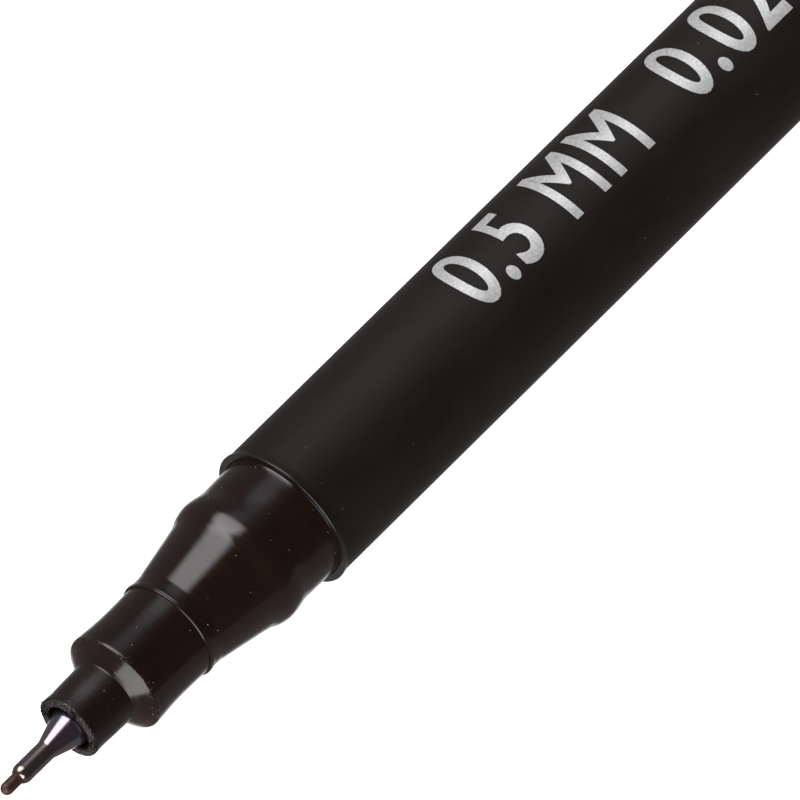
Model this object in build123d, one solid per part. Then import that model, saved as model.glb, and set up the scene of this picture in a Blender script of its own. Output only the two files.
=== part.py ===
"""Fineliner pen with its cap posted on the tail. Millimetres.

The pen's axis is X: the point is at -X and the tail at +X. The origin is on the axis, half way
along the barrel. The pen lies on its cap and on the edge of its clip, so +Z is up.
Nearly every piece is turned about the axis, so its outline is given as (along the axis, radius).
"""

from math import acos, atan2, degrees, hypot, tan, radians
import os

from build123d import *

# Barrel
BARREL_LENGTH = 94.0
BARREL_R = 5.0
BARREL_BORE_R = 4.3
RIM = -BARREL_LENGTH / 2  # the barrel's front end, which the front pieces are measured from
TAIL = BARREL_LENGTH / 2  # the barrel's back end
LIP_R = 5.1  # the rim flares a little
LIP_LENGTH = 0.8
MOUTH_R = 4.61  # counterbore that takes the grip section's collar
MOUTH_DEPTH = 1.2
BARREL_RIBS = 4
RIB_TOP_R = 3.9

# Grip section
COLLAR_R = 4.56
COLLAR_FRONT_R = 4.528  # it tapers towards the groove
COLLAR_LENGTH = 1.9
STEP = RIM - 10.92  # front end of the grip section, where the nose starts
STEP_LIP_R = 3.6
STEP_R = 3.54
STEM_END = RIM + 10.0
STEM_R = 4.28
CAVITY_R = 3.4

# Nose and point
NOSE_FRONT = RIM - 16.72
NOSE_R = 3.565
NOSE_WAIST_R = 3.42
NOSE_STEM_R = 2.79
NOSE_STEM_END = RIM - 4.5
SLEEVE_MOUTH = RIM - 20.2
SLEEVE_END = RIM - 12.4
SLEEVE_R = 2.225
SLEEVE_SEAT_R = 2.3
SLEEVE_BORE_R = 1.62
CASING_MOUTH = RIM - 24.97
CASING_TUBE_R = 0.68
CASING_CONE_START = RIM - 22.3
CASING_HALF_ANGLE = 17.4
CASING_R = 1.6
CASING_END = RIM - 14.5
TIP_END = RIM - 26.43
TIP_R = 0.425
TIP_BORE_R = 0.445
ROD_END = RIM + 21.0
PASSAGE_R = 0.6

# Inside the barrel
BUSH_START = RIM - 2.9
BUSH_FIN_END = RIM + 6.0
BUSH_HUB_END = RIM + 12.0
BUSH_FINS = 6
FIBRE_R = 3.7
FIBRE_START = RIM + 13.0
FIBRE_END = RIM + 82.0
FILM_THICKNESS = 0.12

# Tail plug
STUB_R = 4.5
STUB_LENGTH = 9.0
STUB_RIB_R = 4.57
STUB_RIBS = 6
PLUG_DEPTH = 8.0

# Cap, measured from its mouth
CAP_MOUTH = TAIL + 0.2
CAP_R = 5.3
CAP_LENGTH = 42.0
CAP_BORE_R = 4.62
CAP_INNER_R = 4.4
CAP_STEP = 10.4
SNAP_PLACE = 4.3  # where the grip section's bead sits when the cap is on the nose
SNAP_R = 4.78
LINER_START = 10.6
LINER_END = 29.2
LINER_R = 4.1
LINER_BORE_R = 3.62
LINER_RIBS = 4
CROWN_THICKNESS = 1.6
SPIGOT_LENGTH = 5.5
PRESS_GAP = 0.02  # between pieces that are pressed together

# Pocket clip, drawn along the cap's top and then turned to its place
CLIP_THICKNESS = 0.5
CLIP_OUT_R = 7.05
CLIP_ROOT_WIDTH = 3.8
CLIP_TIP_WIDTH = 3.0
CLIP_TAB_WIDTH = 3.0
CLIP_LEG = 38.85
CLIP_FOOT = 6.6  # where the clip bends down to the cap
CLIP_TIP = 4.0
CLIP_SLOT_GAP = 0.15
CLIP_TAB_R = 3.3
# the clip is turned down until its edge is level with the cap's underside
CLIP_EDGE_R = hypot(CLIP_OUT_R, CLIP_ROOT_WIDTH / 2)
CLIP_FROM_DOWN = degrees(acos(CAP_R / CLIP_EDGE_R) + atan2(CLIP_ROOT_WIDTH / 2, CLIP_OUT_R))
CLIP_TURN = 180.0 - CLIP_FROM_DOWN


def turned(*lines):
    """Turn the closed outline that the lines make about the pen's axis."""
    return revolve(make_face(lines), Axis.X)


def turned_outline(points):
    """Turn a closed outline of straight runs about the pen's axis."""
    return turned(Polyline(points, close=True))


def rod(radius, start, end):
    """A plain round bar along the axis."""
    return turned_outline([(start, 0), (end, 0), (end, radius), (start, radius)])


def ribs(count, start, end, low_r, high_r, width):
    """Straight ribs along the axis, evenly spaced round it."""
    one = Pos((start + end) / 2, 0, (low_r + high_r) / 2) * Box(end - start, width, high_r - low_r)
    return [Rot(360 * i / count, 0, 0) * one for i in range(count)]


def ringed_ribs(count, start, end, low_r, high_r, width):
    """Ribs whose outer faces are round, to fit a bore of the same radius."""
    shape = ribs(count, start, end, low_r, high_r + 0.5, width)
    outside = rod(high_r, start - 1, end + 1)
    return [outside & rib for rib in shape]


def barrel():
    """Moulded tube with a flared rim, a counterbored mouth and ribs that hold the ink bundle."""
    lip_start = (RIM, LIP_R - 0.055)
    lip_top = (RIM + 0.055, LIP_R)
    lip_end = (RIM + LIP_LENGTH, BARREL_R)
    chamfer = 0.35
    bevel = 0.04
    body = turned(
        ThreePointArc(lip_start, (RIM + 0.016, LIP_R - 0.017), lip_top),
        ThreePointArc(lip_top, (RIM + 0.35, LIP_R - 0.03), lip_end),
        Polyline(
            lip_end,
            (TAIL - chamfer, BARREL_R),
            (TAIL, BARREL_R - chamfer),
            (TAIL, BARREL_BORE_R),
            (RIM + MOUTH_DEPTH, BARREL_BORE_R),
            (RIM + MOUTH_DEPTH, MOUTH_R),
            (RIM + bevel, MOUTH_R),
            (RIM, MOUTH_R + bevel),
            lip_start,
        ),
    )
    inside = ribs(BARREL_RIBS, STEM_END + 1, TAIL - PLUG_DEPTH - 1, RIB_TOP_R, BARREL_BORE_R + 0.2, 0.6)
    return body + inside


def grip_section():
    """Moulded front part: step lip, cone, cap bead, groove, collar, and the stem in the barrel."""
    front = (STEP, STEP_LIP_R)
    cone_start = (RIM - 9.75, STEP_R)
    groove_floor = (RIM - 2.6, 4.522)
    bead_place = RIM - 4.1
    flank = Spline(
        cone_start,
        (RIM - 8.6, 3.745),
        (RIM - 6.1, 4.21),
        (RIM - 5.0, 4.56),
        (bead_place, 4.72),
        (RIM - 3.6, 4.665),
        groove_floor,
        tangents=((1, 0.1), (1, -0.05)),
    )
    web_end = RIM - 3.0
    return turned(
        Spline(front, (STEP + 0.12, STEP_LIP_R - 0.03), (STEP + 0.5, STEP_R), tangents=((1, 0), (1, 0))),
        Line((STEP + 0.5, STEP_R), cone_start),
        flank,
        Polyline(
            groove_floor,
            (RIM - COLLAR_LENGTH, COLLAR_FRONT_R),
            (RIM, COLLAR_R),
            (RIM + MOUTH_DEPTH, COLLAR_R),
            (RIM + MOUTH_DEPTH, STEM_R),
            (STEM_END - 0.3, STEM_R),
            (STEM_END, STEM_R - 0.3),
            (STEM_END, CAVITY_R),
            (web_end, CAVITY_R),
            (web_end, PASSAGE_R),
            (NOSE_STEM_END, PASSAGE_R),
            (NOSE_STEM_END, NOSE_STEM_R + PRESS_GAP),
            (STEP, NOSE_STEM_R + PRESS_GAP),
            front,
        ),
    )


def nose_holder():
    """Moulded nose: domed front, slight waist, and a stem pressed into the grip section."""
    seat_r = SLEEVE_SEAT_R + PRESS_GAP
    dome_start = (NOSE_FRONT, seat_r + 0.01)
    dome_end = (RIM - 16.02, NOSE_R - 0.145)
    edge_end = (RIM - 15.74, NOSE_R)
    waist_start = (RIM - 13.3, NOSE_WAIST_R)
    return turned(
        ThreePointArc(dome_start, (RIM - 16.388, 2.885), dome_end),
        ThreePointArc(dome_end, (RIM - 15.935, NOSE_R - 0.055), edge_end),
        Spline(edge_end, waist_start, (STEP, NOSE_WAIST_R + 0.035), tangents=((1, -0.06), (1, 0.01))),
        Polyline(
            (STEP, NOSE_WAIST_R + 0.035),
            (STEP, NOSE_STEM_R),
            (NOSE_STEM_END, NOSE_STEM_R),
            (NOSE_STEM_END, 0.9),
            (SLEEVE_END, 0.9),
            (SLEEVE_END, seat_r),
            (NOSE_FRONT, seat_r),
            dome_start,
        ),
    )


def nib_sleeve():
    """Sleeve that holds the point casing, with its mouth rolled in round the casing's cone."""
    rim_top = (SLEEVE_MOUTH + 0.2, SLEEVE_R + 0.045)
    roll_end = (SLEEVE_MOUTH - 0.12, SLEEVE_BORE_R + 0.12)
    return turned(
        ThreePointArc(roll_end, (SLEEVE_MOUTH - 0.06, SLEEVE_R - 0.2), rim_top),
        Polyline(
            rim_top,
            (SLEEVE_MOUTH + 0.5, SLEEVE_R),
            (NOSE_FRONT, SLEEVE_SEAT_R),
            (SLEEVE_END, SLEEVE_SEAT_R),
            (SLEEVE_END, 1.0),
            (CASING_END, 1.0),
            (CASING_END, SLEEVE_BORE_R),
            (SLEEVE_MOUTH, SLEEVE_BORE_R),
            roll_end,
        ),
    )


def nib_casing():
    """Turned metal casing: thin tube with a rounded mouth, cone, and the body pressed in the sleeve."""
    mouth_inner = (CASING_MOUTH, TIP_BORE_R + 0.04)
    mouth_outer = (CASING_MOUTH + 0.4, CASING_TUBE_R)
    cone_end = CASING_CONE_START + (CASING_R - CASING_TUBE_R) / tan(radians(CASING_HALF_ANGLE))
    hollow_r = 1.25
    return turned(
        ThreePointArc(mouth_inner, (CASING_MOUTH + 0.09, TIP_BORE_R + 0.14), mouth_outer),
        Polyline(
            mouth_outer,
            (CASING_CONE_START, CASING_TUBE_R),
            (cone_end, CASING_R),
            (CASING_END, CASING_R),
            (CASING_END, hollow_r),
            (cone_end + 0.5, hollow_r),
            (CASING_CONE_START + 1.0, TIP_BORE_R),
            (CASING_MOUTH, TIP_BORE_R),
            mouth_inner,
        ),
    )


def writing_tip():
    """Long pressed-fibre rod with a round end, which reaches back into the ink bundle."""
    return turned(
        RadiusArc((TIP_END, 0), (TIP_END + TIP_R, TIP_R), TIP_R),
        Polyline((TIP_END + TIP_R, TIP_R), (ROD_END, TIP_R), (ROD_END, 0), (TIP_END, 0)),
    )


def point_bush():
    """Finned bush in the grip section: it centres the rod, and air passes between its fins."""
    hub = rod(1.3, BUSH_START, BUSH_HUB_END)
    fins = ringed_ribs(BUSH_FINS, BUSH_START, BUSH_FIN_END, 1.0, CAVITY_R - PRESS_GAP, 0.7)
    return hub + fins - rod(TIP_BORE_R, BUSH_START - 1, BUSH_HUB_END + 1)


def ink_reservoir():
    """Bundle of ink-soaked fibre, pierced at its front by the rod."""
    return rod(FIBRE_R, FIBRE_START, FIBRE_END) - rod(TIP_BORE_R, FIBRE_START - 1, ROD_END + 0.3)


def reservoir_wrap():
    """Thin film tube that holds the fibre bundle together."""
    inner_r = FIBRE_R + 0.01
    outer_r = inner_r + FILM_THICKNESS
    start = FIBRE_START - 0.5
    end = FIBRE_END + 0.5
    return turned_outline([(start, inner_r), (end, inner_r), (end, outer_r), (start, outer_r)])


def tail_plug():
    """Plug pressed into the barrel's back end, with the ribbed stub that the cap is posted on."""
    spigot_r = BARREL_BORE_R - PRESS_GAP
    start = TAIL - PLUG_DEPTH
    end = TAIL + STUB_LENGTH
    wall = 1.0
    post_r = 1.0
    edge = 1.1
    body = turned(
        Polyline(
            (FIBRE_END + 1.0, 0),
            (FIBRE_END + 1.0, post_r),
            (end - wall, post_r),
            (end - wall, spigot_r - wall),
            (start, spigot_r - wall),
            (start, spigot_r - 0.3),
            (start + 0.3, spigot_r),
            (TAIL, spigot_r),
            (TAIL, STUB_R),
            (end - edge, STUB_R),
        ),
        RadiusArc((end - edge, STUB_R), (end, STUB_R - edge), edge),
        Polyline((end, STUB_R - edge), (end, 0), (FIBRE_END + 1.0, 0)),
    )
    return body + ringed_ribs(STUB_RIBS, TAIL + 0.6, end - edge - 0.6, STUB_R - 0.3, STUB_RIB_R, 0.6)


def clip_slot(low_r, high_r):
    """The clear space round the clip's tab, between two radii."""
    thick = CLIP_THICKNESS + 2 * CLIP_SLOT_GAP
    wide = CLIP_TAB_WIDTH + 2 * CLIP_SLOT_GAP
    space = Pos(CAP_MOUTH + CLIP_LEG, 0, (low_r + high_r) / 2) * Box(thick, wide, high_r - low_r)
    return Rot(CLIP_TURN, 0, 0) * space


def cap_shell():
    """Cap tube: rounded mouth, snap groove, a step that the liner is pushed in past, clip slot."""
    edge = 0.25
    snap_half = 0.7
    snap = CAP_MOUTH + SNAP_PLACE
    end = CAP_MOUTH + CAP_LENGTH
    mouth_inner = (CAP_MOUTH, CAP_BORE_R + edge)
    tube = turned(
        RadiusArc((CAP_MOUTH, CAP_R - edge), (CAP_MOUTH + edge, CAP_R), edge),
        Polyline(
            (CAP_MOUTH + edge, CAP_R),
            (end, CAP_R),
            (end, CAP_INNER_R),
            (CAP_MOUTH + CAP_STEP, CAP_INNER_R),
            (CAP_MOUTH + CAP_STEP, CAP_BORE_R),
            (snap + snap_half, CAP_BORE_R),
        ),
        ThreePointArc((snap + snap_half, CAP_BORE_R), (snap, SNAP_R), (snap - snap_half, CAP_BORE_R)),
        Polyline(
            (snap - snap_half, CAP_BORE_R),
            (CAP_MOUTH + edge, CAP_BORE_R),
            mouth_inner,
            (CAP_MOUTH, CAP_R - edge),
        ),
    )
    return tube - clip_slot(CAP_INNER_R - 1, CAP_R + 1)


def cap_liner():
    """Inner sealing cap with a domed end. Four ribs hold it in the cap tube."""
    start = CAP_MOUTH + LINER_START
    end = CAP_MOUTH + LINER_END
    wall = 1.0
    dome = 1.6
    flange_end = start + 1.4
    flange_r = CAP_INNER_R - PRESS_GAP
    body = turned(
        Polyline(
            (start, LINER_BORE_R + 0.2),
            (start, flange_r),
            (flange_end, flange_r),
            (flange_end, LINER_R),
            (end - dome, LINER_R),
        ),
        RadiusArc((end - dome, LINER_R), (end, LINER_R - dome), dome),
        Polyline(
            (end, LINER_R - dome),
            (end, 0),
            (end - wall, 0),
            (end - wall, LINER_BORE_R - 0.6),
            (end - wall - 0.6, LINER_BORE_R),
            (start + 0.4, LINER_BORE_R),
            (start, LINER_BORE_R + 0.2),
        ),
    )
    return body + ringed_ribs(LINER_RIBS, flange_end - 0.2, end - dome, LINER_R - 0.2, flange_r, 0.7)


def cap_crown():
    """End plug of the cap. Its cored spigot fills the tube's end and traps the clip's tab."""
    start = CAP_MOUTH + CAP_LENGTH
    end = start + CROWN_THICKNESS
    edge = 0.6
    core_r = 2.4
    spigot_r = CAP_INNER_R - PRESS_GAP
    plug = turned(
        Polyline(
            (start, 0),
            (start, core_r),
            (start - SPIGOT_LENGTH, core_r),
            (start - SPIGOT_LENGTH, spigot_r - 0.3),
            (start - SPIGOT_LENGTH + 0.3, spigot_r),
            (start, spigot_r),
            (start, CAP_R),
            (end - edge, CAP_R),
        ),
        RadiusArc((end - edge, CAP_R), (end, CAP_R - edge), edge),
        Polyline((end, CAP_R - edge), (end, 0), (start, 0)),
    )
    return plug - clip_slot(CLIP_TAB_R - CLIP_SLOT_GAP, CAP_INNER_R + 1)


def cap_clip():
    """Sheet-metal clip: tab, bent leg, long tongue, and a foot that bends down to the cap."""
    middle_r = CLIP_OUT_R - CLIP_THICKNESS / 2
    foot_r = CAP_R + 0.08 + CLIP_THICKNESS / 2
    side = FilletPolyline(
        (CAP_MOUTH + CLIP_LEG, CLIP_TAB_R),
        (CAP_MOUTH + CLIP_LEG, middle_r),
        (CAP_MOUTH + CLIP_FOOT + 4.0, middle_r - 0.35),
        (CAP_MOUTH + CLIP_FOOT, foot_r),
        (CAP_MOUTH + CLIP_TIP, foot_r + 0.75),
        radius=0.8,
    )
    strip = extrude(Plane.XZ * trace(side, CLIP_THICKNESS), CLIP_ROOT_WIDTH / 2, both=True)
    root = CAP_MOUTH + CLIP_LEG + 1
    tip = CAP_MOUTH + CLIP_TIP - 1
    tongue = Polyline(
        (root, -CLIP_ROOT_WIDTH / 2),
        (root, CLIP_ROOT_WIDTH / 2),
        (tip, CLIP_TIP_WIDTH / 2),
        (tip, -CLIP_TIP_WIDTH / 2),
        close=True,
    )
    above = extrude(Plane.XY.offset(CAP_R + 0.05) * make_face(tongue), 5)
    tab_low = CLIP_TAB_R - 1
    tab_high = CAP_R + 0.6
    tab = Pos(CAP_MOUTH + CLIP_LEG, 0, (tab_low + tab_high) / 2) * Box(2, CLIP_TAB_WIDTH, tab_high - tab_low)
    leg_cut = Pos(CAP_MOUTH + CLIP_LEG, 0, CAP_R) * Box(2, 2 * CLIP_ROOT_WIDTH, 0.7)
    clip = (strip & above) - leg_cut + (strip & tab)
    return Rot(CLIP_TURN, 0, 0) * clip


PIECES = [
    writing_tip,
    nib_casing,
    nib_sleeve,
    nose_holder,
    grip_section,
    point_bush,
    barrel,
    ink_reservoir,
    reservoir_wrap,
    tail_plug,
    cap_shell,
    cap_liner,
    cap_crown,
    cap_clip,
]

os.makedirs("parts", exist_ok=True)
for piece in PIECES:
    export_step(piece(), f"parts/{piece.__name__}.step")
print("clip is", round(CLIP_FROM_DOWN, 2), "degrees from straight down")
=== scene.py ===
"""Fineliner pen lying on a pale table, its cap posted on the tail. Built up in the order it is assembled."""

import math

import bpy
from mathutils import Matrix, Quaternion, Vector


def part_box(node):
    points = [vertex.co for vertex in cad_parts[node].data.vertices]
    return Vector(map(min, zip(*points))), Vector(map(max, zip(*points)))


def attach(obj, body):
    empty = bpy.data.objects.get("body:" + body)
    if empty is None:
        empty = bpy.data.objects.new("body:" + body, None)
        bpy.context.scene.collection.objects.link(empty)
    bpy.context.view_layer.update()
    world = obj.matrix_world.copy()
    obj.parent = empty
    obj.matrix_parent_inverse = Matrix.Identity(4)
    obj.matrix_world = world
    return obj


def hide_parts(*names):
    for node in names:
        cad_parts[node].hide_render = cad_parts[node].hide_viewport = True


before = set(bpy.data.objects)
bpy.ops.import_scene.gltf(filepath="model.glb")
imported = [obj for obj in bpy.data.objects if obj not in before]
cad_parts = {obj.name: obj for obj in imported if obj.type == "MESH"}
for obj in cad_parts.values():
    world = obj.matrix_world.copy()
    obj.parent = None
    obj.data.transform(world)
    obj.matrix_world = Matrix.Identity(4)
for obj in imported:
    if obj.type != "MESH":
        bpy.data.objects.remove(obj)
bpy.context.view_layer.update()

# Sizes are in millimetres. Places along the pen are counted from the barrel's rim, and grow towards
# the tail. MM turns them into the frame's metres.
MM = 0.001

# ---------------------------------------------------------------------------------------------
# The table, the studio and the camera. A white table, a round softbox behind and above, a tall
# window ahead of the point, and dim walls for the faint reflections. The lens is long.
# ---------------------------------------------------------------------------------------------

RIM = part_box("barrel")[0].x / MM  # the barrel's front end, in millimetres along the axis
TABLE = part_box("cap_shell")[0].z

bpy.ops.object.select_all(action="DESELECT")
bpy.ops.mesh.primitive_plane_add(size=30.0, location=(0, 0, TABLE))
table = bpy.context.object
table.name = "table"
table.visible_glossy = False
table.visible_shadow = False
white = bpy.data.materials.new("table_white")
white.use_nodes = True
paper = white.node_tree.nodes["Principled BSDF"]
paper.inputs["Base Color"].default_value = (0.8, 0.8, 0.8, 1)
paper.inputs["Roughness"].default_value = 0.9
paper.inputs["Emission Color"].default_value = (1.0, 1.0, 1.0, 1)
paper.inputs["Emission Strength"].default_value = 1.0
table.data.materials.append(white)


class Value:
    """A number, colour or place that varies. Sums on it add Math nodes to its node tree."""

    def __init__(self, nodes, socket):
        self.nodes = nodes
        self.socket = socket

    def worked(self, operation, *others):
        """The Math node `operation` on this value and up to two others, in that order."""
        maths = self.nodes.add("ShaderNodeMath", {"operation": operation})
        for place, item in enumerate((self,) + others):
            self.nodes.give(maths.inputs[place], item)
        return Value(self.nodes, maths.outputs[0])

    def __add__(self, other):
        return self.worked("ADD", other)

    __radd__ = __add__

    def __mul__(self, other):
        return self.worked("MULTIPLY", other)

    __rmul__ = __mul__

    def __sub__(self, other):
        return self.worked("SUBTRACT", other)

    def __rsub__(self, other):
        return self * -1.0 + other

    def __truediv__(self, other):
        return self.worked("DIVIDE", other)

    def __pow__(self, other):
        return self.worked("POWER", other)

    def between(self, low, high):
        """0 where this is at `low`, 1 at `high`, smooth between and held outside."""
        settings = {"clamp": True, "interpolation_type": "SMOOTHSTEP"}
        ends = {"Value": self, "From Min": low, "From Max": high}
        if low > high:
            ends = {"Value": self, "From Min": high, "From Max": low, "To Min": 1.0, "To Max": 0.0}
        return self.nodes.node("ShaderNodeMapRange", settings, ends, "Result")


class Nodes:
    """A node tree that is filled from here."""

    def __init__(self, tree):
        self.tree = tree

    def add(self, kind, settings):
        """A new node with its settings."""
        made = self.tree.nodes.new(kind)
        for key, value in settings.items():
            setattr(made, key, value)
        return made

    def give(self, socket, item):
        """Link a value to a socket, or set it as a constant."""
        if isinstance(item, Value):
            self.tree.links.new(item.socket, socket)
        else:
            socket.default_value = item

    def node(self, kind, settings, values, output):
        """Any node: its type, settings, socket values or links, and the output that is wanted."""
        made = self.add(kind, settings)
        for key, item in values.items():
            self.give(made.inputs[key], item)
        return Value(self, made.outputs[output])

    def parts(self, vector):
        """The x, y and z of a vector."""
        split = self.add("ShaderNodeSeparateXYZ", {})
        self.give(split.inputs[0], vector)
        return [Value(self, split.outputs[i]) for i in range(3)]

    def blend(self, amount, low, high):
        """A colour between two colours."""
        mix = self.add("ShaderNodeMix", {"data_type": "RGBA"})
        self.give(mix.inputs[0], amount)
        for place, colour in ((6, low), (7, high)):
            self.give(mix.inputs[place], colour if isinstance(colour, Value) else (*colour, 1.0))
        return Value(self, mix.outputs[2])


AZIMUTH = math.radians(-50.0)
ELEVATION = math.radians(55.6)
level = math.cos(ELEVATION)
TO_LENS = Vector((math.sin(AZIMUTH) * level, -math.cos(AZIMUTH) * level, math.sin(ELEVATION)))

world = bpy.data.worlds.new("room")
bpy.context.scene.world = world
world.use_nodes = True
world.node_tree.nodes.clear()
room = Nodes(world.node_tree)
x, y, z = room.parts(room.node("ShaderNodeTexCoord", {}, {}, "Generated"))

# a round softbox behind and above, brighter at its point end; places on it are for a ceiling 1 away
SOFTBOX_LEAN = math.radians(25.0)  # from straight up, towards the back
SOFTBOX_LONG = 0.78
SOFTBOX_SHORT = 0.54
lean_back = math.sin(SOFTBOX_LEAN)
lean_up = math.cos(SOFTBOX_LEAN)
ahead = (y * lean_back + z * lean_up).worked("MAXIMUM", 0.05)
across = x / ahead
back = (y * lean_up - z * lean_back) / ahead
long_way = (across / SOFTBOX_LONG).worked("ABSOLUTE") ** 2.0
short_way = ((back - 0.05 + across * 0.15) / SOFTBOX_SHORT).worked("ABSOLUTE") ** 2.0
from_middle = (long_way + short_way) ** 0.5
softbox = from_middle.between(1.1, 0.5) * across.between(0.5, 0.05) * (4.6 - across * 3.4)
# its glow on the ceiling towards the tail
GLOW = 0.42
glow_ends = across.between(0.2, 0.4) * across.between(1.7, 0.5)
glow_sides = back.between(-0.4, -0.05) * back.between(0.45, 0.1)
glow = glow_ends * glow_sides * GLOW
# a tall window ahead of the point, whose lower edge is bent; places on it are for a wall 1 away
forward = (x * -1.0).worked("MAXIMUM", 0.05)
sideways = y / forward
upward = z / forward
right = (sideways + upward * 0.33).between(0.16, 0.08)
shallow = (upward + sideways * 0.48).between(-0.66, -0.58)
steep = (upward + sideways * 1.1).between(-0.76, -0.68)
bottom = shallow.worked("MAXIMUM", steep)
top = upward.between(0.85, 0.75)
window = right * bottom * top * sideways.between(-1.45, -1.3) * (3.6 - sideways)
# the dim walls and table, darker on the side of the lens
WALLS = 0.19
LENS_SIDE = 0.055
lens_side = y.between(0.12, -0.3) * (z - y * 0.27).between(-0.015, 0.03)
walls = WALLS - lens_side * (WALLS - LENS_SIDE)
# the white table beyond the pen, which only glancing reflections reach
BEYOND = 0.7
from_lens = x * -TO_LENS.x + y * -TO_LENS.y + z * -TO_LENS.z
beyond = from_lens.between(0.86, 0.98) * BEYOND
brightness = softbox + window + walls + beyond

seen = room.add("ShaderNodeBackground", {})
seen.inputs["Color"].default_value = (1.0, 1.0, 1.0, 1)
felt = room.add("ShaderNodeBackground", {})
felt.inputs["Color"].default_value = (1.0, 1.0, 1.0, 1)
room.give(felt.inputs["Strength"], brightness)
bluish = room.add("ShaderNodeBackground", {})
bluish.inputs["Color"].default_value = (0.88, 0.96, 1.16, 1)
room.give(bluish.inputs["Strength"], glow)
both = room.add("ShaderNodeAddShader", {})
either = room.add("ShaderNodeMixShader", {})
sky = room.add("ShaderNodeOutputWorld", {})
room.tree.links.new(felt.outputs[0], both.inputs[0])
room.tree.links.new(bluish.outputs[0], both.inputs[1])
room.give(either.inputs[0], room.node("ShaderNodeLightPath", {}, {}, "Is Camera Ray"))
room.tree.links.new(both.outputs[0], either.inputs[1])
room.tree.links.new(seen.outputs[0], either.inputs[2])
room.tree.links.new(either.outputs[0], sky.inputs["Surface"])

bpy.context.scene.view_settings.view_transform = "Standard"
bpy.context.scene.view_settings.look = "None"

FOCAL_LENGTH = 1021.0
LENS_DISTANCE = 1.4
AIM = Vector(((RIM + 11.4) * MM, 0.082 * MM, 0.036 * MM))  # the middle of the view, on the pen's axis
lens = bpy.data.cameras.new("camera")
lens.sensor_width = 36.0
lens.lens = FOCAL_LENGTH
lens.clip_end = 50.0
camera = bpy.data.objects.new("camera", lens)
camera.rotation_mode = "QUATERNION"
camera.rotation_quaternion = (-TO_LENS).to_track_quat("-Z", "Y")
camera.location = AIM + TO_LENS * LENS_DISTANCE
bpy.context.scene.collection.objects.link(camera)
bpy.context.scene.camera = camera

# ---------------------------------------------------------------------------------------------
# Writing tip: a long rod of pressed, inked polyester fibre. Its end is ground round, and it
# runs back through the casing into the ink bundle.
# ---------------------------------------------------------------------------------------------


def bow(start, middle, end, count=8):
    """Points on the circular arc through three points, both ends included."""
    (ax, ay), (bx, by), (cx, cy) = start, middle, end
    four_areas = 2 * (ax * (by - cy) + bx * (cy - ay) + cx * (ay - by))
    aa, bb, cc = ax * ax + ay * ay, bx * bx + by * by, cx * cx + cy * cy
    centre_x = (aa * (by - cy) + bb * (cy - ay) + cc * (ay - by)) / four_areas
    centre_y = (aa * (cx - bx) + bb * (ax - cx) + cc * (bx - ax)) / four_areas
    radius = math.hypot(ax - centre_x, ay - centre_y)
    first = math.atan2(ay - centre_y, ax - centre_x)
    half = (math.atan2(by - centre_y, bx - centre_x) - first + math.pi) % (2 * math.pi) - math.pi
    rest = (math.atan2(cy - centre_y, cx - centre_x) - first - half + math.pi) % (2 * math.pi) - math.pi
    turns = [first + (half + rest) * i / count for i in range(count + 1)]
    return [(centre_x + radius * math.cos(turn), centre_y + radius * math.sin(turn)) for turn in turns]


def flow(points, count=8):
    """A smooth line through the points: a Catmull-Rom curve with `count` steps between two points."""
    ends = [points[0]] + list(points) + [points[-1]]
    line = []
    for before, start, end, after in zip(ends, ends[1:], ends[2:], ends[3:]):
        for i in range(count):
            t = i / count
            place = []
            for a, b, c, d in zip(before, start, end, after):
                slope = (c - a) * t
                bend = (2 * a - 5 * b + 4 * c - d) * t * t
                twist = (3 * b - a - 3 * c + d) * t ** 3
                place.append(0.5 * (2 * b + slope + bend + twist))
            line.append(tuple(place))
    return line + [points[-1]]


def drawn(name, outline):
    """A line through points, in millimetres from the barrel's rim and from the axis, left in edit mode."""
    bpy.ops.object.select_all(action="DESELECT")
    bpy.ops.mesh.primitive_plane_add(size=MM)
    piece = bpy.context.object
    piece.name = name
    bpy.ops.object.mode_set(mode="EDIT")
    bpy.ops.mesh.select_mode(type="VERT")
    bpy.ops.mesh.select_all(action="SELECT")
    bpy.ops.mesh.merge(type="CENTER")
    places = [Vector(((RIM + along) * MM, 0, radius * MM)) for along, radius in outline]
    bpy.ops.transform.translate(value=places[0])
    for here, there in zip(places, places[1:]):
        bpy.ops.mesh.extrude_vertices_move(TRANSFORM_OT_translate={"value": there - here})
    return piece


def turned(name, outline, around=192, crease=28.0):
    """Turn an outline round the axis into a piece. Lines that lie on the axis are left out."""
    piece = drawn(name, outline)
    bpy.ops.mesh.select_all(action="SELECT")
    bpy.ops.mesh.spin(steps=around, angle=2 * math.pi, center=(0, 0, 0), axis=(1, 0, 0))
    bpy.ops.mesh.select_all(action="SELECT")
    bpy.ops.mesh.remove_doubles(threshold=0.002 * MM)
    bpy.ops.mesh.delete_loose()
    bpy.ops.mesh.normals_make_consistent(inside=False)
    bpy.ops.object.mode_set(mode="OBJECT")
    bpy.ops.object.shade_smooth_by_angle(angle=math.radians(crease))
    return piece


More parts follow.
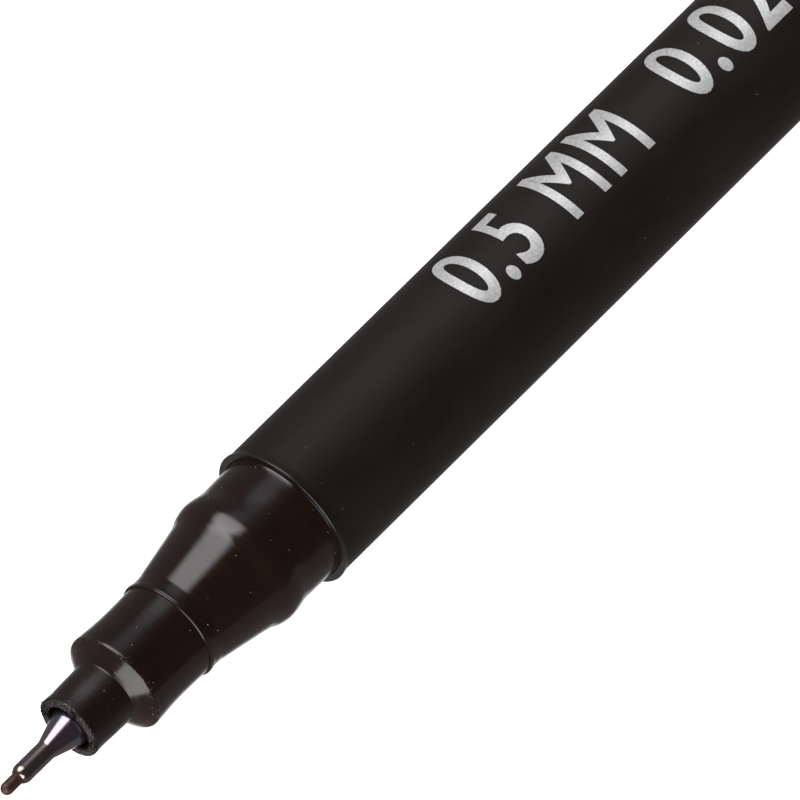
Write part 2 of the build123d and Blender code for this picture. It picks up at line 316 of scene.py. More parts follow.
class Finish(Nodes):
    """One surface finish: a Principled shader whose varying inputs are fed by nodes."""

    def __init__(self, name, **constants):
        self.material = bpy.data.materials.new(name)
        self.material.use_nodes = True
        super().__init__(self.material.node_tree)
        self.shader = self.tree.nodes["Principled BSDF"]
        for socket, value in constants.items():
            self.shader.inputs[socket.replace("_", " ")].default_value = value
        self.place = self.node("ShaderNodeTexCoord", {}, {}, "Object")

    def scaled(self, x, y, z):
        """The place on the piece, stretched by a factor along each axis."""
        return self.node("ShaderNodeMapping", {}, {"Vector": self.place, "Scale": (x, y, z)}, "Vector")

    def noise(self, where, scale, detail=2.0, rough=0.5):
        """Soft noise from 0 to 1."""
        values = {"Vector": where, "Scale": scale, "Detail": detail, "Roughness": rough}
        return self.node("ShaderNodeTexNoise", {}, values, "Fac")

    def specks(self, scale, size, share):
        """1 on small specks: `scale` cells to the metre, specks `size` of a cell, on `share` of the cells."""
        cells = self.add("ShaderNodeTexVoronoi", {"feature": "F1"})
        self.give(cells.inputs["Vector"], self.place)
        self.give(cells.inputs["Scale"], scale)
        near = Value(self, cells.outputs["Distance"]).between(size, size * 0.5)
        random_colour = {"Color": Value(self, cells.outputs["Color"])}
        chosen = self.node("ShaderNodeSeparateColor", {}, random_colour, "Red")
        return near * chosen.between(1.0 - share, 1.0 - share + 0.01)

    def feed(self, **inputs):
        """Feed the shader's own inputs."""
        for socket, item in inputs.items():
            self.give(self.shader.inputs[socket.replace("_", " ")], item)

    def relief(self, height, depth):
        """Bump of the given depth in millimetres, from a height of 0 to 1."""
        values = {"Height": height, "Strength": 1.0, "Distance": depth * MM}
        self.feed(Normal=self.node("ShaderNodeBump", {}, values, "Normal"))


def finished(piece, finish, slot, body, *nodes):
    """Give a piece its finish, its body and the CAD nodes that it stands for."""
    piece.data.materials.clear()
    piece.data.materials.append(finish.material)
    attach(piece, body)
    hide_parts(*nodes)


ROD_R = 0.425
ROD_FRONT = -26.42
ROD_ROUND = 0.43  # length of the rounded end
ROD_BACK = 21.0

fibre = Finish("pressed_fibre", Roughness=0.42, Specular_IOR_Level=0.4)
strands = fibre.noise(fibre.scaled(0.06, 1.0, 1.0), 16000.0, 3.0, 0.6)
ink_marks = fibre.noise(fibre.place, 2600.0, 2.0)
worn = fibre.blend(ink_marks.between(0.35, 0.7), (0.028, 0.0095, 0.0048), (0.074, 0.027, 0.015))
fibre.feed(Base_Color=worn, Roughness=strands.between(0.2, 0.8) * 0.2 + 0.34)
fibre.relief(strands, 0.012)

rod_end = bow((ROD_FRONT, 0), (ROD_FRONT + 0.125, 0.28), (ROD_FRONT + ROD_ROUND, ROD_R), 14)
tip = turned("writing_tip", rod_end + [(-25.4, ROD_R), (ROD_BACK, ROD_R), (ROD_BACK, 0)], 96)
finished(tip, fibre, "fibre_point", "pen", "writing_tip")

# ---------------------------------------------------------------------------------------------
# Point casing: turned from steel, a thin tube with a rounded mouth that widens into a cone. Its
# straight body is pressed into the sleeve. The finish is a dark tint, bronze on the tube and plum
# on the cone.
# ---------------------------------------------------------------------------------------------

TUBE_R = 0.68
TUBE_BORE = 0.445
MOUTH_LIP = 0.48  # radius where the rounded mouth begins
CASING_MOUTH = -24.97
CONE_START = -22.3
CONE_END = -19.37
CASING_R = 1.6
CASING_BORE = 1.25
CASING_BACK = -14.5

steel = Finish(
    "tinted_steel",
    Metallic=0.94,
    Roughness=0.16,
    Coat_Weight=0.9,
    Coat_Roughness=0.1,
    Coat_IOR=2.1,
)
along = steel.parts(steel.place)[0]
on_cone = along.between((RIM + CONE_START - 0.12) * MM, (RIM + CONE_START + 0.12) * MM)
wide_end = along.between((RIM + CONE_START + 0.9) * MM, (RIM + CONE_START + 1.7) * MM)
cloud = steel.noise(steel.place, 1500.0, 3.0)
bronze = steel.blend(cloud, (0.175, 0.130, 0.080), (0.135, 0.092, 0.100))
plum = steel.blend(cloud, (0.160, 0.088, 0.125), (0.195, 0.118, 0.160))
plum = steel.blend(wide_end * cloud.between(0.42, 0.6), plum, (0.100, 0.110, 0.190))
turning = steel.noise(steel.scaled(1.0, 0.05, 0.05), 30000.0, 2.0)
grain = steel.noise(steel.place, 14000.0, 3.0, 0.7)
steel.feed(
    Base_Color=steel.blend(on_cone, bronze, plum),
    Roughness=grain.between(0.3, 0.75) * 0.16 + 0.11,
)
steel.relief(turning * 0.5 + grain * 0.5, 0.0022)

mouth = bow((CASING_MOUTH, MOUTH_LIP), (CASING_MOUTH + 0.15, 0.59), (CASING_MOUTH + 0.6, TUBE_R), 12)
shoulder = flow(
    [(CONE_START - 0.12, TUBE_R), (CONE_START, TUBE_R + 0.008), (CONE_START + 0.14, TUBE_R + 0.045)],
    3,
)
casing_outline = (
    mouth
    + shoulder
    + [(CONE_END, CASING_R), (CASING_BACK, CASING_R), (CASING_BACK, CASING_BORE)]
    + [(CONE_END + 0.5, CASING_BORE), (CONE_START + 1.0, TUBE_BORE), (CASING_MOUTH + 0.03, TUBE_BORE)]
    + [(CASING_MOUTH, TUBE_BORE + 0.02), (CASING_MOUTH, MOUTH_LIP)]
)
casing = turned("nib_casing", casing_outline, 160, 20.0)
finished(casing, steel, "casing_metal", "pen", "nib_casing")

# ---------------------------------------------------------------------------------------------
# Sleeve: satin black moulding that holds the casing. Its mouth was rolled in hot over the cone,
# which left a rough, slightly torn lip.
# ---------------------------------------------------------------------------------------------

SLEEVE_MOUTH = -20.2
SLEEVE_R = 2.225
SEAT_R = 2.3
SLEEVE_BACK = -12.4
SLEEVE_BORE = 1.62
ROD_PASSAGE = 1.0
FILLET = (-16.86, SEAT_R)

satin = Finish("satin_black", Roughness=0.36)
coarse = satin.noise(satin.place, 9000.0, 4.0, 0.7)
fine = satin.noise(satin.place, 30000.0, 2.0)
streaks = satin.noise(satin.scaled(0.06, 1.0, 1.0), 6500.0, 3.0, 0.6)
along = satin.parts(satin.place)[0]
at_mouth = along.between((RIM + SLEEVE_MOUTH + 0.03) * MM, (RIM + SLEEVE_MOUTH - 0.03) * MM)
dust = satin.specks(3000.0, 0.1, 0.5)
flecks = coarse.between(0.56, 0.66) * at_mouth
dark = satin.blend(flecks, (0.0085, 0.0036, 0.0024), (0.060, 0.054, 0.050))
satin.feed(
    Base_Color=satin.blend(dust, dark, (0.45, 0.43, 0.40)),
    Roughness=streaks * 0.16 + coarse * 0.10 + 0.17,
)
satin.relief(fine * 0.35 + coarse * (at_mouth * 3.0 + 0.65), 0.009)

LIP_IN = (SLEEVE_MOUTH - 0.06, SLEEVE_BORE + 0.12)
LIP_TURN = (SLEEVE_MOUTH - 0.035, SLEEVE_R - 0.045)
LIP_OUT = (SLEEVE_MOUTH + 0.13, SLEEVE_R + 0.045)

roll = bow(LIP_IN, (SLEEVE_MOUTH - 0.075, SLEEVE_R - 0.21), LIP_TURN, 9)
roll += bow(LIP_TURN, (SLEEVE_MOUTH + 0.025, SLEEVE_R + 0.015), LIP_OUT, 7)[1:]
roll += flow([LIP_OUT, (SLEEVE_MOUTH + 0.4, SLEEVE_R + 0.03), (SLEEVE_MOUTH + 0.75, SLEEVE_R + 0.01)], 3)[1:]
sleeve_outline = (
    roll
    + [(-18.5, 2.265), FILLET]
    + bow(FILLET, (FILLET[0] + 0.1, SEAT_R + 0.008), (FILLET[0] + 0.16, SEAT_R + 0.035), 5)[1:]
    + [(-16.6, SEAT_R), (SLEEVE_BACK, SEAT_R), (SLEEVE_BACK, ROD_PASSAGE), (CASING_BACK, ROD_PASSAGE)]
    + [(CASING_BACK, SLEEVE_BORE), (SLEEVE_MOUTH + 0.6, SLEEVE_BORE), (SLEEVE_MOUTH + 0.3, SLEEVE_BORE)]
    + [(SLEEVE_MOUTH + 0.12, SLEEVE_BORE), (SLEEVE_MOUTH, SLEEVE_BORE + 0.01), LIP_IN]
)
sleeve = turned("nib_sleeve", sleeve_outline, 320, 60.0)


def pick(piece):
    """Select this piece alone and make it the active one."""
    bpy.ops.object.select_all(action="DESELECT")
    bpy.context.view_layer.objects.active = piece
    piece.select_set(True)


def pick_none_of(piece, kind):
    """Deselect the whole mesh of a piece, ready to select its vertices or faces in code."""
    pick(piece)
    bpy.ops.object.mode_set(mode="EDIT")
    bpy.ops.mesh.select_mode(type=kind)
    bpy.ops.mesh.select_all(action="DESELECT")
    bpy.ops.object.mode_set(mode="OBJECT")


def select_where(piece, wanted):
    """In edit mode, select only the vertices whose place, in millimetres from the rim, is wanted."""
    pick_none_of(piece, "VERT")
    for vertex in piece.data.vertices:
        x, y, z = vertex.co / MM
        vertex.select = wanted(x - RIM, math.hypot(y, z), math.degrees(math.atan2(y, z)))
    bpy.ops.object.mode_set(mode="EDIT")


# the rolled lip is uneven all round, and torn between these turns, in degrees from the top
TEARS = ((58, 96), (-20, -6), (-100, -72), (150, 171))
select_where(sleeve, lambda along, radius, turn: along < SLEEVE_MOUTH + 0.06)
bpy.ops.transform.vertex_random(offset=0.05 * MM, uniform=1.0, normal=0.0, seed=3)
bpy.ops.mesh.vertices_smooth(factor=0.35)
bpy.ops.object.mode_set(mode="OBJECT")
for seed, (first, last) in enumerate(TEARS):
    select_where(sleeve, lambda along, radius, turn: along < SLEEVE_MOUTH + 0.01 and first < turn < last)
    bpy.ops.transform.vertex_random(offset=0.085 * MM, uniform=0.9, normal=0.0, seed=20 + seed)
    bpy.ops.object.mode_set(mode="OBJECT")
finished(sleeve, satin, "sleeve_satin", "pen", "nib_sleeve")

# ---------------------------------------------------------------------------------------------
# Nose: glossy moulding with a domed front, pressed into the grip section by its stem. It holds
# the sleeve.
# ---------------------------------------------------------------------------------------------

NOSE_FRONT = -16.72
NOSE_R = 3.565
WAIST_R = 3.42
STEP = -10.92
NOSE_STEM_R = 2.79
NOSE_STEM_BACK = -4.5
NOSE_PASSAGE = 0.9
DOME_END = (-16.02, 3.42)
EDGE_END = (-15.74, NOSE_R)

gloss = Finish("polished_black", Roughness=0.13, Specular_IOR_Level=0.5)
along = gloss.parts(gloss.place)[0]
rings = gloss.noise(gloss.scaled(1.0, 0.03, 0.03), 8000.0, 4.0, 0.7)
patches = gloss.noise(gloss.place, 900.0, 3.0)
dust = gloss.specks(1700.0, 0.065, 0.6)
tint = gloss.blend(patches.between(0.3, 0.75), (0.0110, 0.0044, 0.0024), (0.0082, 0.0038, 0.0024))
# the dome's outer edge is scuffed
behind_dome = along.between((RIM - 16.08) * MM, (RIM - 15.96) * MM)
before_side = along.between((RIM - 15.5) * MM, (RIM - 15.75) * MM)
at_edge = behind_dome * before_side
scuffed = gloss.noise(gloss.place, 7000.0, 4.0, 0.75).between(0.53, 0.66) * at_edge
tint = gloss.blend(scuffed, tint, (0.035, 0.033, 0.031))
ringed = rings.between(0.3, 0.75)
gloss.feed(
    Base_Color=gloss.blend(dust, tint, (0.35, 0.33, 0.31)),
    Roughness=ringed * 0.15 + patches * 0.05 + scuffed * 0.25 + 0.045,
)
gloss.relief(rings * 0.6 + scuffed * 0.4, 0.0055)

dome = bow((NOSE_FRONT, SEAT_R + 0.03), (-16.388, 2.885), DOME_END, 16)
edge = bow(DOME_END, (-15.935, 3.51), EDGE_END, 8)[1:]
side = flow(
    [EDGE_END, (-15.2, 3.53), (-14.3, 3.46), (-13.3, WAIST_R), (-12.1, WAIST_R + 0.003), (STEP, 3.455)],
    8,
)[1:]
nose_outline = (
    dome + edge + side
    + [(STEP, NOSE_STEM_R), (NOSE_STEM_BACK, NOSE_STEM_R), (NOSE_STEM_BACK, NOSE_PASSAGE)]
    + [(SLEEVE_BACK, NOSE_PASSAGE)]
    + [(SLEEVE_BACK, SEAT_R + 0.02), (NOSE_FRONT, SEAT_R + 0.02), (NOSE_FRONT, SEAT_R + 0.03)]
)
nose = turned("nose_holder", nose_outline, 256)
finished(nose, gloss, "grip_gloss", "pen", "nose_holder")

# ---------------------------------------------------------------------------------------------
# Grip section: one glossy moulding with a small lip at the step, a hollow cone, the bead and
# groove that the cap clicks over, the collar, and the stem that is pressed into the barrel.
# ---------------------------------------------------------------------------------------------

LIP_START = (STEP, 3.47)
LIP_TOP = (STEP + 0.1, 3.6)
CONE_FRONT = (-9.75, 3.54)
COLLAR_R = 4.56
COLLAR_BACK = 1.2
STEM_R = 4.28
STEM_BACK = 10.0
CAVITY_R = 3.4
CAVITY_FRONT = -3.0
GRIP_PASSAGE = 0.6
NOSE_HOLE = NOSE_STEM_R + 0.02

lip = bow(LIP_START, (STEP + 0.025, 3.555), LIP_TOP, 8)
lip += flow([LIP_TOP, (STEP + 0.19, 3.582), (STEP + 0.27, 3.592), (STEP + 0.5, 3.545), CONE_FRONT], 5)[1:]
cone = [CONE_FRONT, (-8.6, 3.745), (-7.3, 3.985), (-6.1, 4.21)]
bead = [(-5.5, 4.345), (-5.0, 4.56), (-4.5, 4.695), (-4.1, 4.72), (-3.6, 4.665), (-3.2, 4.585)]
groove = [(-2.8, 4.53), (-2.35, 4.52), (-1.4, 4.535)]
collar = [(-0.5, 4.545), (-0.15, 4.562), (0.0, 4.595)]
grip_outline = (
    lip
    + flow(cone + bead + groove + collar, 8)[1:]
    + [(0.1, COLLAR_R), (COLLAR_BACK, COLLAR_R), (COLLAR_BACK, STEM_R), (STEM_BACK - 0.3, STEM_R)]
    + [(STEM_BACK, STEM_R - 0.3), (STEM_BACK, CAVITY_R), (CAVITY_FRONT, CAVITY_R)]
    + [(CAVITY_FRONT, GRIP_PASSAGE), (NOSE_STEM_BACK, GRIP_PASSAGE)]
    + [(NOSE_STEM_BACK, NOSE_HOLE), (STEP, NOSE_HOLE), LIP_START]
)
grip = turned("grip_section", grip_outline, 256)
finished(grip, gloss, "grip_gloss", "pen", "grip_section")

# ---------------------------------------------------------------------------------------------
# Inside the barrel: the finned bush that centres the rod, the bundle of inked fibre and the film
# round it. All three are closed in, so their CAD shapes are kept and only get their finishes.
# ---------------------------------------------------------------------------------------------

natural = Finish("natural_plastic", Roughness=0.45)
cloud = natural.noise(natural.place, 700.0)
natural.feed(Base_Color=natural.blend(cloud, (0.74, 0.74, 0.71), (0.82, 0.82, 0.80)))
inked = Finish("inked_fibre", Roughness=0.8)
strands = inked.noise(inked.scaled(0.05, 1, 1), 9000.0)
inked.feed(Base_Color=inked.blend(strands, (0.012, 0.012, 0.02), (0.04, 0.04, 0.06)))
film = Finish("clear_film", Roughness=0.15, Alpha=0.5)
cloud = film.noise(film.place, 500.0)
film.feed(Base_Color=film.blend(cloud, (0.80, 0.82, 0.85), (0.88, 0.89, 0.90)))
for node, finish in (("point_bush", natural), ("ink_reservoir", inked), ("reservoir_wrap", film)):
    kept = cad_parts[node]
    kept.data.materials.clear()
    kept.data.materials.append(finish.material)

# ---------------------------------------------------------------------------------------------
# Barrel: moulded tube with a soft matt coating. The rim flares a little and its mouth is
# counterbored for the grip section's collar.
# ---------------------------------------------------------------------------------------------

BARREL_R = 5.0
BORE_R = 4.3
MOUTH_R = 4.61
RIM_R = 5.1
RIM_EDGE = (0.0, 5.045)
RIM_OUTER = (0.055, RIM_R)
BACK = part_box("barrel")[1].x / MM - RIM

coating = Finish("soft_touch_black", Roughness=0.55, Specular_IOR_Level=0.26, Coat_Roughness=0.12)
grain = coating.noise(coating.place, 12000.0, 3.0, 0.65)
scuffs = coating.noise(coating.scaled(0.35, 1.0, 1.0), 420.0, 4.0, 0.6)
dust = coating.specks(1100.0, 0.05, 0.35)
# the coating is rubbed shiny at the rim
rubbed = coating.parts(coating.place)[0].between((RIM + 0.3) * MM, (RIM + 0.06) * MM)
shade = coating.blend(scuffs.between(0.3, 0.75), (0.0068, 0.0038, 0.0029), (0.0096, 0.0064, 0.0052))
coating.feed(
    Base_Color=coating.blend(dust, shade, (0.22, 0.21, 0.20)),
    Roughness=scuffs * 0.10 + grain * 0.10 + 0.44 - rubbed * 0.26,
    Coat_Weight=rubbed * 0.8,
)
coating.relief(grain, 0.006)

rim_in = bow((0.0, 4.65), (0.012, 4.622), (0.04, MOUTH_R), 4)
rim_out = bow(RIM_EDGE, (0.016, 5.083), RIM_OUTER, 5)
rim_out += flow([RIM_OUTER, (0.2, 5.09), (0.45, 5.03), (0.8, BARREL_R)], 4)[1:]
barrel_outline = (
    rim_out
    + [(20, BARREL_R), (40, BARREL_R), (60, BARREL_R), (80, BARREL_R), (BACK - 0.35, BARREL_R)]
    + [(BACK - 0.06, 4.76), (BACK, 4.65), (BACK, BORE_R), (COLLAR_BACK, BORE_R), (COLLAR_BACK, MOUTH_R)]
    + rim_in[::-1] + [RIM_EDGE]
)
barrel = turned("barrel", barrel_outline, 256)
finished(barrel, coating, "barrel_matt", "pen", "barrel")

# ---------------------------------------------------------------------------------------------
# Print: the point's width in millimetres and inches, pressed on the barrel in silver foil and
# read from the point towards the tail.
# ---------------------------------------------------------------------------------------------

PRINT_HEIGHT = 5.2
PRINT_START = 17.5
PRINT_LENGTH = 37.0
PRINT_BOLDER = 0.1  # added to each side of the strokes
PRINT_TURN = 10.0  # degrees round the barrel from the top, towards the back
FOIL = 0.016
FOIL_GAP = 0.004  # keeps the foil clear of the barrel's faces
SLICES = 26

foil = Finish("silver_foil", Metallic=0.6, Roughness=0.4)
mottle = foil.noise(foil.place, 5200.0, 5.0, 0.7)
brush = foil.noise(foil.scaled(0.2, 1.0, 1.0), 9000.0, 3.0)
foil.feed(
    Base_Color=foil.blend(mottle.between(0.3, 0.7), (0.56, 0.56, 0.56), (0.80, 0.80, 0.79)),
    Roughness=brush * 0.2 + 0.3,
)
foil.relief(mottle * 0.6 + brush * 0.4, 0.004)

bpy.ops.object.select_all(action="DESELECT")
bpy.ops.object.text_add()
words = bpy.context.object
words.data.body = "0.5 MM  0.02 IN"
words.data.size = 1.0
words.data.space_character = 1.12
words.data.resolution_u = 6
bpy.ops.object.convert(target="MESH")
letters = bpy.context.object
letters.name = "print"
letters.scale = (PRINT_LENGTH * MM / letters.dimensions.x, PRINT_HEIGHT * MM / letters.dimensions.y, 1)
bpy.ops.object.transform_apply(location=False, rotation=False, scale=True)
left = min(vertex.co.x for vertex in letters.data.vertices)
foot = min(vertex.co.y for vertex in letters.data.vertices)
letters.location = (-left, -foot - PRINT_HEIGHT * MM / 2, 0)
bpy.ops.object.transform_apply(location=True, rotation=False, scale=False)
skin = letters.modifiers.new("foil", "SOLIDIFY")
skin.thickness = FOIL * MM
skin.offset = 1.0
bpy.ops.object.modifier_apply(modifier="foil")
# make the strokes bolder: the slab's side walls are moved out
pick_none_of(letters, "FACE")
for face in letters.data.polygons:
    face.select = abs(face.normal.z) < 0.5
bpy.ops.object.mode_set(mode="EDIT")
bpy.ops.transform.shrink_fatten(value=PRINT_BOLDER * MM)
# cut the letters into slices, so that they can follow the barrel's round
for cut in range(1, SLICES):
    height = (cut / SLICES - 0.5) * PRINT_HEIGHT * MM
    bpy.ops.mesh.select_all(action="SELECT")
    bpy.ops.mesh.bisect(plane_co=(0, height, 0), plane_no=(0, 1, 0))
bpy.ops.mesh.select_all(action="SELECT")
bpy.ops.mesh.normals_make_consistent(inside=False)
bpy.ops.object.mode_set(mode="OBJECT")
# wrap the flat print round the barrel without stretching it
for vertex in letters.data.vertices:
    turn = vertex.co.y / (BARREL_R * MM) + math.radians(PRINT_TURN)
    along = (RIM + PRINT_START) * MM + vertex.co.x
    radius = (BARREL_R + FOIL_GAP) * MM + vertex.co.z
    vertex.co = (along, radius * math.sin(turn), radius * math.cos(turn))
letters.data.materials.clear()
letters.data.materials.append(foil.material)
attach(letters, "pen")

# ---------------------------------------------------------------------------------------------
# Tail plug: satin moulding pressed into the barrel's back end, with a peg inside that stops the ink
# bundle. The cap is posted on its stub, whose six low ribs grip the cap's bore.
# ---------------------------------------------------------------------------------------------

STUB_R = 4.5
STUB_END = BACK + 9.0
PLUG_R = 4.28
PLUG_START = BACK - 8.0
PLUG_CAVITY = 3.28
PLUG_FLOOR = STUB_END - 1.0
PEG_R = 1.0
PEG_START = 83.0
RIBS_START = BACK + 0.6
RIBS_END = STUB_END - 1.7

moulded = Finish("moulded_black", Roughness=0.38)
swirl = moulded.noise(moulded.place, 1200.0, 3.0)
pores = moulded.noise(moulded.place, 16000.0, 2.0)
moulded.feed(
    Base_Color=moulded.blend(swirl, (0.0095, 0.0085, 0.0080), (0.0150, 0.0135, 0.0128)),
    Roughness=swirl * 0.12 + pores * 0.08 + 0.28,
)
moulded.relief(pores, 0.004)


def rounded(end, radius, size, count):
    """A quarter round of `size`, from a round face of `radius` to a flat back end."""
    inset = size * (1 - math.sqrt(0.5))
    return bow((end - size, radius), (end - inset, radius - inset), (end, radius - size), count)


plug_outline = (
    [(PEG_START, 0), (PEG_START, PEG_R), (PLUG_FLOOR, PEG_R), (PLUG_FLOOR, PLUG_CAVITY)]
    + [(PLUG_START, PLUG_CAVITY), (PLUG_START, PLUG_R - 0.3), (PLUG_START + 0.3, PLUG_R)]
    + [(BACK, PLUG_R), (BACK, STUB_R), (RIBS_START, STUB_R), (RIBS_END, STUB_R)]
    + rounded(STUB_END, STUB_R, 1.1, 8)
    + [(STUB_END, 0)]
)
plug = turned("tail_plug", plug_outline, 216)


def raise_ribs(piece, first, last, count, half_width, low, height):
    """Raise ribs on a round face of radius `low`, each `half_width` degrees to both sides of its middle."""
    pick_none_of(piece, "FACE")
    for face in piece.data.polygons:
        x, y, z = face.center / MM
        turn = (math.degrees(math.atan2(y, z)) + 180 / count) % (360 / count) - 180 / count
        inside = first < x - RIM < last and abs(turn) < half_width
        face.select = inside and abs(math.hypot(y, z) - low) < 0.03
    bpy.ops.object.mode_set(mode="EDIT")
    bpy.ops.mesh.extrude_region_shrink_fatten(TRANSFORM_OT_shrink_fatten={"value": height * MM})
    bpy.ops.mesh.select_all(action="SELECT")
    bpy.ops.mesh.normals_make_consistent(inside=False)
    bpy.ops.object.mode_set(mode="OBJECT")


raise_ribs(plug, RIBS_START, RIBS_END, count=6, half_width=4.0, low=STUB_R, height=0.07)
finished(plug, moulded, "plug_plastic", "pen", "tail_plug")

# ---------------------------------------------------------------------------------------------
# Cap: tube with the same soft coating as the barrel, a rounded mouth, a snap groove inside, and
# a slot near its end for the clip's tab.
# ---------------------------------------------------------------------------------------------

CAP_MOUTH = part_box("cap_shell")[0].x / MM - RIM
CAP_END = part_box("cap_shell")[1].x / MM - RIM
CAP_R = 5.297
CAP_BORE = 4.62
CAP_INNER = 4.4
CAP_STEP = CAP_MOUTH + 10.4
SNAP = CAP_MOUTH + 4.3
SNAP_R = 4.78
SLOT_LENGTH = 0.8
SLOT_WIDTH = 3.3
CLIP_LEG = CAP_MOUTH + 38.85
# the clip leans from straight down until its edge is level with the cap's underside
CLIP_OUT = 7.05
CLIP_WIDTH = 3.8
UNDERSIDE = 5.3
CLIP_EDGE = math.hypot(CLIP_OUT, CLIP_WIDTH / 2)
CLIP_TURN = math.pi - math.acos(UNDERSIDE / CLIP_EDGE) - math.atan2(CLIP_WIDTH / 2, CLIP_OUT)

cap_outline = (
    bow((CAP_MOUTH, CAP_R - 0.25), (CAP_MOUTH + 0.073, CAP_R - 0.073), (CAP_MOUTH + 0.25, CAP_R), 6)
    + [(CAP_MOUTH + 10, CAP_R), (CAP_MOUTH + 20, CAP_R), (CAP_MOUTH + 30, CAP_R), (CAP_END - 0.08, CAP_R)]
    + [(CAP_END, CAP_R - 0.08), (CAP_END, CAP_INNER), (CAP_STEP, CAP_INNER), (CAP_STEP, CAP_BORE)]
    + bow((SNAP + 0.7, CAP_BORE), (SNAP, SNAP_R), (SNAP - 0.7, CAP_BORE), 8)
    + [(CAP_MOUTH + 0.25, CAP_BORE), (CAP_MOUTH, CAP_BORE + 0.25), (CAP_MOUTH, CAP_R - 0.25)]
)
cap = turned("cap_shell", cap_outline, 256)


def turn_to_clip(piece):
    """Turn a piece that was made over the cap's top round to where the clip is."""
    pick(piece)
    piece.rotation_mode = "QUATERNION"
    piece.rotation_quaternion = Quaternion((1, 0, 0), CLIP_TURN)
    bpy.ops.object.transform_apply(location=True, rotation=True, scale=True)


def cut_slot(piece, low, high):
    """Cut the clip tab's slot through a piece, between two radii."""
    bpy.ops.object.select_all(action="DESELECT")
    bpy.ops.mesh.primitive_cube_add(size=1.0, location=((RIM + CLIP_LEG) * MM, 0, (low + high) / 2 * MM))
    cutter = bpy.context.object
    cutter.scale = (SLOT_LENGTH * MM, SLOT_WIDTH * MM, (high - low) * MM)
    bpy.ops.object.transform_apply(location=True, rotation=True, scale=True)
    turn_to_clip(cutter)
    slot_cut = piece.modifiers.new("slot", "BOOLEAN")
    slot_cut.operation = "DIFFERENCE"
    slot_cut.solver = "EXACT"
    slot_cut.object = cutter
    pick(piece)
    bpy.ops.object.modifier_apply(modifier="slot")
    bpy.data.objects.remove(cutter)


cut_slot(cap, CAP_INNER - 1, CAP_R + 1)
finished(cap, coating, "cap_matt", "cap", "cap_shell")

# ---------------------------------------------------------------------------------------------
# Cap liner: natural moulding with a domed end. It seals on the nose when the cap is closed, and
# its flange and four ribs hold it in the cap tube.
# ---------------------------------------------------------------------------------------------

LINER_START = CAP_MOUTH + 10.6
LINER_END = CAP_MOUTH + 29.2
LINER_R = 4.1
LINER_BORE = 3.62
LINER_FLOOR = LINER_END - 1.0
FLANGE_R = 4.38
FLANGE_BACK = LINER_START + 1.4
DOME = 1.6
DOME_START = LINER_END - DOME

liner_outline = (
    [(LINER_START, LINER_BORE + 0.2), (LINER_START, FLANGE_R), (FLANGE_BACK, FLANGE_R)]
    + [(FLANGE_BACK, LINER_R)]
    + rounded(LINER_END, LINER_R, DOME, 8)
    + [(LINER_END, 0), (LINER_FLOOR, 0), (LINER_FLOOR, LINER_BORE - 0.6), (DOME_START, LINER_BORE)]
    + [(LINER_START + 0.4, LINER_BORE), (LINER_START, LINER_BORE + 0.2)]
)
liner = turned("cap_liner", liner_outline, 192)
raise_ribs(liner, FLANGE_BACK, DOME_START, count=4, half_width=5.0, low=LINER_R, height=0.28)
finished(liner, natural, "liner_plastic", "cap", "cap_liner")

# ---------------------------------------------------------------------------------------------
# Crown: glossy end plug of the cap. Its cored spigot traps the clip's tab.
# ---------------------------------------------------------------------------------------------

CROWN_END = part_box("cap_crown")[1].x / MM - RIM
CROWN_DISH = CROWN_END - 0.1
SPIGOT_R = 4.38
SPIGOT_CORE = 2.4
SPIGOT_START = CAP_END - 5.5

crown_outline = (
    [(CAP_END, 0), (CAP_END, SPIGOT_CORE), (SPIGOT_START, SPIGOT_CORE), (SPIGOT_START, SPIGOT_R - 0.3)]
    + [(SPIGOT_START + 0.3, SPIGOT_R), (CAP_END, SPIGOT_R), (CAP_END, CAP_R - 0.06), (CAP_END + 0.06, CAP_R)]
    + rounded(CROWN_END, CAP_R, 0.6, 10)
    + bow((CROWN_END, 4.2), (CROWN_END - 0.06, 4.0), (CROWN_DISH, 3.8), 4)
    + [(CROWN_DISH, 1.0), (CROWN_DISH, 0)]
)
crown = turned("cap_crown", crown_outline, 256)
cut_slot(crown, 3.15, 5.0)
finished(crown, gloss, "crown_gloss", "cap", "cap_crown")

# ---------------------------------------------------------------------------------------------
# Clip: cut and bent from sheet steel 0.5 mm thick, nickel plated. Tab, leg, long tongue, and a
# foot that bends down to the cap.
# ---------------------------------------------------------------------------------------------

SHEET = 0.5
TIP_WIDTH = 3.0
TAB_WIDTH = 3.0
TAB_END = 3.3
TAB_TOP = 5.55  # the tab is narrow up to this radius
BEND = 0.8
FOOT = CAP_MOUTH + 6.6
FOOT_GAP = 0.08
MIDDLE_R = CLIP_OUT - SHEET / 2
FOOT_R = UNDERSIDE + FOOT_GAP + SHEET / 2

plated = Finish("nickel_plate", Metallic=1.0, Roughness=0.22)
brushing = plated.noise(plated.scaled(0.03, 1.0, 1.0), 22000.0, 3.0, 0.6)
smudge = plated.noise(plated.place, 350.0, 3.0)
plated.feed(
    Base_Color=plated.blend(smudge, (0.56, 0.55, 0.54), (0.66, 0.655, 0.65)),
    Roughness=brushing * 0.16 + smudge * 0.12 + 0.10,
)
plated.relief(brushing, 0.002)

corners = [
    (CLIP_LEG, TAB_END),
    (CLIP_LEG, MIDDLE_R),
    (FOOT + 4.0, MIDDLE_R - 0.35),
    (FOOT, FOOT_R),
    (CAP_MOUTH + 4.0, FOOT_R + 0.75),
]


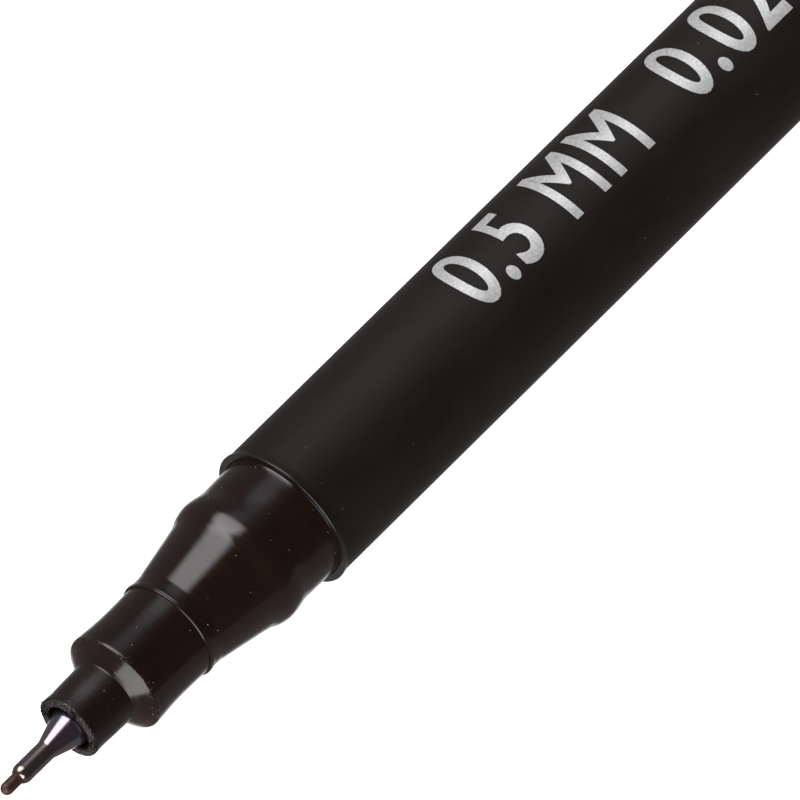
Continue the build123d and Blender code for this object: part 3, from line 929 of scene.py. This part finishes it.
def bent(corners, radius, count=6):
    """The corners' line with each bend rounded to a radius."""
    line = [corners[0]]
    for before, here, after in zip(corners, corners[1:], corners[2:]):
        back_way = (Vector(before) - Vector(here)).normalized()
        on_way = (Vector(after) - Vector(here)).normalized()
        half = back_way.angle(on_way) / 2
        reach = radius / math.tan(half)
        centre = Vector(here) + (back_way + on_way).normalized() * radius / math.sin(half)
        start = Vector(here) + back_way * reach - centre
        end = Vector(here) + on_way * reach - centre
        for i in range(count + 1):
            way = start.lerp(end, i / count).normalized() * radius
            line.append(tuple(centre + way))
    return line + [corners[-1]]


middle = bent(corners, BEND)
ways = [(Vector(b) - Vector(a)).normalized() for a, b in zip(middle, middle[1:])]
ways = [ways[0]] + [(a + b).normalized() for a, b in zip(ways, ways[1:])] + [ways[-1]]
outer = [(p[0] + w.y * SHEET / 2, p[1] - w.x * SHEET / 2) for p, w in zip(middle, ways)]

clip = drawn("cap_clip", outer)
bpy.ops.mesh.select_all(action="SELECT")
bpy.ops.transform.translate(value=(0, -MM, 0))
bpy.ops.mesh.extrude_edges_move(TRANSFORM_OT_translate={"value": (0, 2 * MM, 0)})
bpy.ops.object.mode_set(mode="OBJECT")
# the half width at each point of the line: the tab is narrow, and the tongue tapers to its tip
tongue_end = corners[-1][0]
halves = []
for x, r in middle:
    taper = (x - tongue_end) / (CLIP_LEG - tongue_end)
    width = TIP_WIDTH + (CLIP_WIDTH - TIP_WIDTH) * taper
    if r < TAB_TOP and x > CLIP_LEG - SHEET:
        width = TAB_WIDTH
    halves.append(width / 2)
for vertex in clip.data.vertices:
    x = vertex.co.x / MM - RIM
    r = vertex.co.z / MM
    gaps = [math.hypot(x - point_x, r - point_r) for point_x, point_r in outer]
    vertex.co.y *= halves[gaps.index(min(gaps))]
sheet = clip.modifiers.new("sheet", "SOLIDIFY")
sheet.thickness = SHEET * MM
sheet.offset = -1.0
sheet.use_even_offset = True
bpy.ops.object.modifier_apply(modifier="sheet")
rounding = clip.modifiers.new("edges", "BEVEL")
rounding.width = 0.09 * MM
rounding.segments = 3
rounding.limit_method = "ANGLE"
rounding.angle_limit = math.radians(50)
bpy.ops.object.modifier_apply(modifier="edges")
bpy.ops.object.mode_set(mode="EDIT")
bpy.ops.mesh.select_all(action="SELECT")
bpy.ops.mesh.normals_make_consistent(inside=False)
bpy.ops.object.mode_set(mode="OBJECT")
bpy.ops.object.shade_smooth_by_angle(angle=math.radians(30))
turn_to_clip(clip)
finished(clip, plated, "clip_metal", "clip", "cap_clip")
